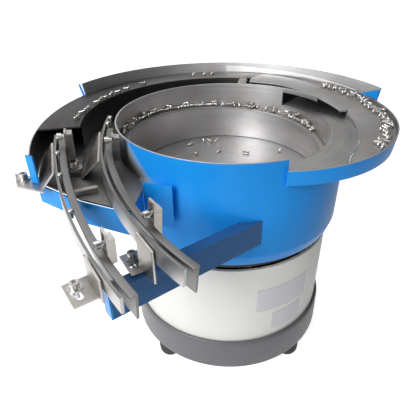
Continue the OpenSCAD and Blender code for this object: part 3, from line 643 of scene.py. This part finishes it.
# ---------------------------------------------------------------- tray
tray = Piece("tray_sheet", [BLUE, EDGE_STEEL, WALL_STEEL])
cut_slope = math.tan(math.radians(1.9))


def front_top(a):
    y = ARC_A[0][1] + ARC_A[1] * sind(a)
    return min(FULL_TOP, 349 + (y + 150) * cut_slope)


def front_section(a):
    top = front_top(a)
    drop = 3.0 * (FULL_TOP - top) / 28
    return wall(ARC_A[1] - 3, WALL_LOW, ARC_A[1] - drop, top, SHEET, OUT_BLUE)


def upright_wall(arc, a0, a1, low):
    tray.polar_sweep(steps(a0, a1, 1.5), lambda a: wall(arc[1], low, arc[1], TRAY_TOP, SHEET, OUT_BLUE),
                     0.5, centre=arc[0])


tray.polar_sweep(steps(ARC_A[2], ARC_A[3] - 0.01, 1.5), front_section, 0.5, centre=ARC_A[0])
upright_wall(ARC_B, ARC_B[2], 75, WALL_LOW)
upright_wall(ARC_B, 75, 118, PAN_Z - SHEET)
upright_wall(ARC_B, 118, ARC_B[3], PAN_Z - SHEET)
upright_wall(ARC_C, ARC_C[2] + 0.01, 200.5, PAN_Z - SHEET)
upright_wall(ARC_C, 200.5, ARC_C[3], PAN_Z + 3)
# short return beside the bowl's exit
near = polar(BOWL_R + 0.5, EXIT_A, 0)
far = Vector((*ARC_A[0], 0)) + polar(ARC_A[1] - 1.2, ARC_A[2], 0)
thick = Vector((near.y - far.y, far.x - near.x, 0)).normalized() * SHEET
tray.loft([[p + Vector((0, 0, z)) for p in (near, far, far + thick, near + thick)]
           for z in (WALL_LOW, 348.6)], [0] * 4)
tray.done("bowl", "blue_paint", "tray_wall_front", "tray_wall_back", "tray_wall_left")

guard = Piece("guard_sheet", [BLUE, EDGE_STEEL, GUARD_STEEL])
GUARD_R = ARC_B[1] + SHEET + 0.3
guard_section = [
    (GUARD_R, TRAY_TOP - 12, 0), (GUARD_R + 1.3, TRAY_TOP - 12, 0), (GUARD_R + 1.3, TRAY_TOP, 0),
    (GUARD_R + 4.7, GUARD_TOP, 1), (GUARD_R + 3.2, GUARD_TOP, 2), (GUARD_R, TRAY_TOP, 2)]
guard.polar_sweep(steps(19.6, 158, 1.5), lambda a: guard_section, 0.4, centre=ARC_B[0])
guard.done("bowl", "blue_paint", "guard")

strip = Piece("guide_strip_sheet", [PALE_STEEL])
STRIP_A, STRIP_B = 30, 91
strip.polar_sweep(steps(STRIP_A, STRIP_B, 1.5), lambda a: wall(
    ARC_B[1] - 2.2, TRACK_Z + 0.6, ARC_B[1] - 2.2,
    TRACK_Z + 2 + 9.6 * (a - STRIP_A) / (STRIP_B - STRIP_A), 1.2, (0,) * 4), 0.3, centre=ARC_B[0])
strip.done("bowl", "stainless", "guide_strip")


# ---------------------------------------------------------------- rails
def rail_piece(name, rail, a0, a1, section_at, mats, replaced):
    p = Piece(name, mats)
    angles = steps(a0, a1, 0.6)
    frames = [(lambda a: lambda x, y: rail_point(rail, a, x, y))(a) for a in angles]
    p.sweep(frames, [section_at(a) for a in angles], 0.6)
    return p.done("bowl", "ground_steel", replaced)


def bar_section(a):
    return [(HALF_SLOT, -BAR_H, 0), (HALF_SLOT + BAR_T, -BAR_H, 0),
            (HALF_SLOT + BAR_T, 0, 1), (HALF_SLOT, 0, 0)]


def angle_section_at(a_step):
    def section(a):
        h = ramp(a, a_step - 0.6, a_step + 0.6, 13, ANGLE_H)
        x = -HALF_SLOT - FLANGE_W
        return [(x, -h, 0), (x + 2.5, -h, 0), (x + 2.5, -FLANGE_T, 0), (-HALF_SLOT, -FLANGE_T, 0),
                (-HALF_SLOT, 0, 0), (x, 0, 0)]
    return section


for number, rail in ((1, RAIL_1), (2, RAIL_2)):
    rail_piece(f"rail_{number}_outer_bar", rail, rail[4], rail[5], bar_section, [RAIL_STEEL, ANGLE_STEEL],
               f"rail_{number}_bar")
rail_piece("rail_1_hold_down", RAIL_1, RAIL_1[4] + 0.8, RAIL_1[5] + 0.5, angle_section_at(207.6),
           [ANGLE_STEEL], "rail_1_angle")
rail_piece("rail_2_hold_down", RAIL_2, 187.3, RAIL_2[5] + 0.7, angle_section_at(214), [ANGLE_STEEL],
           "rail_2_angle")


# ---------------------------------------------------------------- screws being fed
def screw_mesh():
    """Pan-head screw along +Z, head upwards, seat at z = 0, with thread ridges and a cross recess."""
    n = 16
    rings = [(0.05, -9.6, 0), (0.9, -9.2, 0)]
    z = -8.9
    while z < -0.6:
        rings += [(1.5, z, 0), (1.2, z + 0.32, 0)]
        z += 0.64
    rings += [(1.4, -0.1, 0), (2.8, 0, 0), (2.9, 0.5, 0), (2.7, 1.4, 0), (2.1, 2.0, 0), (1.7, 2.2, 1),
              (1.3, 1.4, 1), (0.05, 1.0, 0)]
    verts, faces = [], []
    for r, zz, cross in rings:
        for i in range(n):
            a = 2 * math.pi * i / n
            k = 0.45 + 0.55 * abs(math.cos(2 * a)) if cross else 1
            verts.append((r * k * math.cos(a) * MM, r * k * math.sin(a) * MM, zz * MM))
    for j in range(len(rings) - 1):
        for i in range(n):
            faces.append((j * n + i, j * n + (i + 1) % n, (j + 1) * n + (i + 1) % n, (j + 1) * n + i))
    faces.append(tuple(range(n - 1, -1, -1)))
    faces.append(tuple((len(rings) - 1) * n + i for i in range(n)))
    return verts, faces


SCREW_VERTS, SCREW_FACES = screw_mesh()
fed = Piece("fed_screw_load", [SCREW])


def lying(r, a, z, heading, lift=2.9, tip=0.0):
    """A screw lying on its side: heading is its direction from the tangent, tip its nose-up angle."""
    m = (Matrix.Translation(polar(r, a, z + lift) * MM) @ Matrix.Rotation(math.radians(a + heading), 4, "Z")
         @ Matrix.Rotation(math.radians(90 + tip), 4, "X") @ Matrix.Translation((0, 0, 4 * MM)))
    fed.mesh(SCREW_VERTS, SCREW_FACES, m)


def hanging(rail, a):
    """A screw hanging in a rail's slot by its head."""
    up = (rail_point(rail, a, 0, 1) - rail_point(rail, a, 0, 0)).normalized()
    turn = up.to_track_quat("Z", "Y").to_matrix().to_4x4()
    m = Matrix.Translation(rail_point(rail, a, 0, 0.15) * MM) @ turn
    fed.mesh(SCREW_VERTS, SCREW_FACES, m)


for i in range(52):
    a = 24 + i * 3.15 + random.uniform(-0.8, 0.8)
    depth = random.uniform(4.2, 8.0)
    heading = random.choice((0, 0, 180, 180, 60, -50, 90)) + random.uniform(-22, 22)
    lying(ledge_out(a) - depth, a, ledge_z(a), heading)
for i in range(14):
    a = 30 + i * 11.5 + random.uniform(-3, 3)
    lying(ledge_out(a) - 5, a, ledge_z(a), random.uniform(-60, 60), lift=6.5, tip=random.uniform(-20, 20))
for i in range(46):
    a = -22 + i * 1.5 + random.uniform(-0.5, 0.5)
    r = wall_in(a) - random.uniform(5, 17)
    lying(r, a, outer_z(a), random.uniform(-180, 180))
for r, a in ((214, 108.5), (213.7, 103.2), (215.6, 99.3)):
    lying(r, a, TRACK_Z, random.uniform(50, 130))
for r, a in ((206, 136), (201.8, 146.5), (200.5, 152.5), (200.8, 156.5), (200, 161.9), (200.4, 164.5),
             (199.8, 168), (200.2, 177), (202.5, 181.2), (204, 187)):
    lying(r, a, TRACK_Z, random.uniform(-40, 40))
for r, a in ((78.5, 135.6), (64, 106.7), (65.2, 68), (108, 42.5), (112, 126.4), (116, 112.7),
             (113, 108), (110, 102.4)):
    lying(r, a, FLOOR_Z + 2 - 2 * clamp01((r - CONE_IN) / 105), random.uniform(-90, 90))
for a in (196.2, 199.9, 204.6, 211.4):
    hanging(RAIL_1, a)
for a in (182.6, 185.2):
    hanging(RAIL_2, a)
fed.done("bowl", "screw_steel", "fed_screws", sharp=40)

# ---------------------------------------------------------------- carried-over CAD nodes
KEEP = {
    FIXING: ["foot_bolts", "lower_bolts", "upper_bolts", "centre_bolt", "centre_washer", "clamp_screws",
             "bracket_screws", "washers", "base_cap_screw"],
    PLASTIC: ["cable_gland"],
    CAST: ["lower_blocks", "top_frame"],
    SPRING: ["magnet_bracket", "magnet_core", "armature"],
    COIL: ["magnet_coil"],
    BLACK: ["mounting_plate"],
    # the catch floor takes the near-black steel that is painted shade
    SHADE_STEEL: ["catch_floor"],
    BRACKET_STEEL: ["bracket_1a", "bracket_1b", "bracket_2a", "bracket_2b", "cross_bar", "slotted_plates",
                    "clamp_blocks", "notch_block", "bowl_base"],
    BLUE: ["guard_gussets", "pan_front", "flap", "end_strip", "beam_cap"],
    # the beam takes the darker blue that is painted shade
    BEAM_SHADE_BLUE: ["box_beam"],
    PAN_STEEL: ["pan_floor", "rail_base_plate"],
}
for material, names in KEEP.items():
    for name in names:
        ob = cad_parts[name]
        if not ob.material_slots:
            ob.data.materials.append(material)
        for s in ob.material_slots:
            s.material = material

# Leaf springs: clamped to the base below and to the top frame above; between the clamps the mesh is cut
# into rows of points
leaf_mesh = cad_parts["leaf_springs"].data.copy()
clamped_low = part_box("lower_blocks")[1].z
clamped_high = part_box("upper_bolts")[0].z - 6 * MM
bm = bmesh.new()
bm.from_mesh(leaf_mesh)
BENDS = 12  # rows of points between the clamps
for i in range(BENDS + 1):
    level_z = clamped_low + (clamped_high - clamped_low) * i / BENDS
    bmesh.ops.bisect_plane(bm, geom=bm.verts[:] + bm.edges[:] + bm.faces[:], dist=1e-6,
                           plane_co=(0, 0, level_z), plane_no=(0, 0, 1))
bm.to_mesh(leaf_mesh)
bm.free()
leaves = bpy.data.objects.new("leaf_spring_packs", leaf_mesh)
bpy.context.scene.collection.objects.link(leaves)
leaf_mesh.materials.clear()
leaf_mesh.materials.append(SPRING)
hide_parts("leaf_springs")
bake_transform(leaves)

# ---------------------------------------------------------------- stage, light, camera
lowest = cad_box[0][2]
FLOOR_LIFT = 0.85
bpy.ops.mesh.primitive_plane_add(size=40, location=(0, 0, lowest - 0.0002))
stage = bpy.context.object
stage.name = "studio_floor"
floor_mat, nt, bsdf = principled("floor_paper", Roughness=0.85)
paper = noise(nt, coords(nt, "Object", (3, 3, 3)), 1.0, 3.0, 0.5)
tint = ramp_colour(nt, paper, [(0.3, (0.93, 0.93, 0.93)), (0.7, (0.95, 0.95, 0.95))])
nt.links.new(tint, bsdf.inputs["Base Color"])
# seen directly or in a reflection the paper is lifted to white; the shadow stays
ray = node(nt, "ShaderNodeLightPath")
direct = node(nt, "ShaderNodeMath", operation="MAXIMUM")
nt.links.new(ray.outputs["Is Camera Ray"], direct.inputs[0])
# reflections of the paper dim towards the right, like the studio's light
across = node(nt, "ShaderNodeSeparateXYZ")
nt.links.new(coords(nt, "Object", (1, 1, 1)), across.inputs[0])
mirrored = node(nt, "ShaderNodeMath", operation="MULTIPLY")
nt.links.new(ray.outputs["Is Glossy Ray"], mirrored.inputs[0])
nt.links.new(remap(nt, across.outputs["X"], -0.1, 0.5, 1.0, 0.15), mirrored.inputs[1])
nt.links.new(mirrored.outputs[0], direct.inputs[1])
bsdf.inputs["Emission Color"].default_value = (1, 1, 1, 1)
nt.links.new(remap(nt, direct.outputs[0], 0, 1, 0, FLOOR_LIFT), bsdf.inputs["Emission Strength"])
stage.data.materials.append(floor_mat)

world = bpy.data.worlds.new("studio")
bpy.context.scene.world = world
world.use_nodes = True
nt = world.node_tree
background = nt.nodes["Background"]
path = node(nt, "ShaderNodeLightPath")
seen = node(nt, "ShaderNodeMath", operation="MAXIMUM")
nt.links.new(path.outputs["Is Camera Ray"], seen.inputs[0])
nt.links.new(path.outputs["Is Glossy Ray"], seen.inputs[1])
seen_2 = node(nt, "ShaderNodeMath", operation="MAXIMUM")
nt.links.new(seen.outputs[0], seen_2.inputs[0])
nt.links.new(path.outputs["Is Transmission Ray"], seen_2.inputs[1])
AMBIENT = 0.30
# the studio is darker on the right; what the camera sees directly stays white
side = node(nt, "ShaderNodeSeparateXYZ")
nt.links.new(coords(nt, "Generated", (1, 1, 1)), side.inputs[0])
flag = remap(nt, side.outputs["X"], -0.3, 0.65, 1.0, 0.1)
level = node(nt, "ShaderNodeMath", operation="MULTIPLY")
nt.links.new(remap(nt, seen_2.outputs[0], 0, 1, AMBIENT, 1.0), level.inputs[0])
nt.links.new(flag, level.inputs[1])
shown = node(nt, "ShaderNodeMath", operation="MAXIMUM")
nt.links.new(level.outputs[0], shown.inputs[0])
nt.links.new(path.outputs["Is Camera Ray"], shown.inputs[1])
nt.links.new(shown.outputs[0], background.inputs["Strength"])
background.inputs["Color"].default_value = (1, 1, 1, 1)


def area_lamp(name, location, target, size, power):
    data = bpy.data.lights.new(name, "AREA")
    data.shape = "RECTANGLE"
    data.size, data.size_y = size
    data.energy = power
    lamp = bpy.data.objects.new(name, data)
    lamp.location = location
    lamp.rotation_euler = (Vector(target) - Vector(location)).to_track_quat("-Z", "Y").to_euler()
    bpy.context.scene.collection.objects.link(lamp)


MIDDLE = (0, 0, 0.25)
area_lamp("key", (-1.15, -1.6, 1.5), MIDDLE, (1.0, 1.4), 42)
area_lamp("top", (-0.1, 0.3, 2.2), MIDDLE, (1.6, 1.6), 12)

CAMERA_AT = (0, -0.5278, 0.5409)
PAN, TILT, ROLL = 3.14, 57.65, -0.33  # degrees
cam_data = bpy.data.cameras.new("camera")
cam = bpy.data.objects.new("camera", cam_data)
cam_data.lens = 34.54
cam_data.sensor_width = 36
cam.matrix_world = (Matrix.Translation(CAMERA_AT) @ Matrix.Rotation(math.radians(PAN), 4, "Z")
                    @ Matrix.Rotation(math.radians(TILT), 4, "X")
                    @ Matrix.Rotation(math.radians(ROLL), 4, "Z"))
bpy.context.scene.collection.objects.link(cam)
bpy.context.scene.camera = cam

bpy.context.scene.view_settings.view_transform = "Standard"
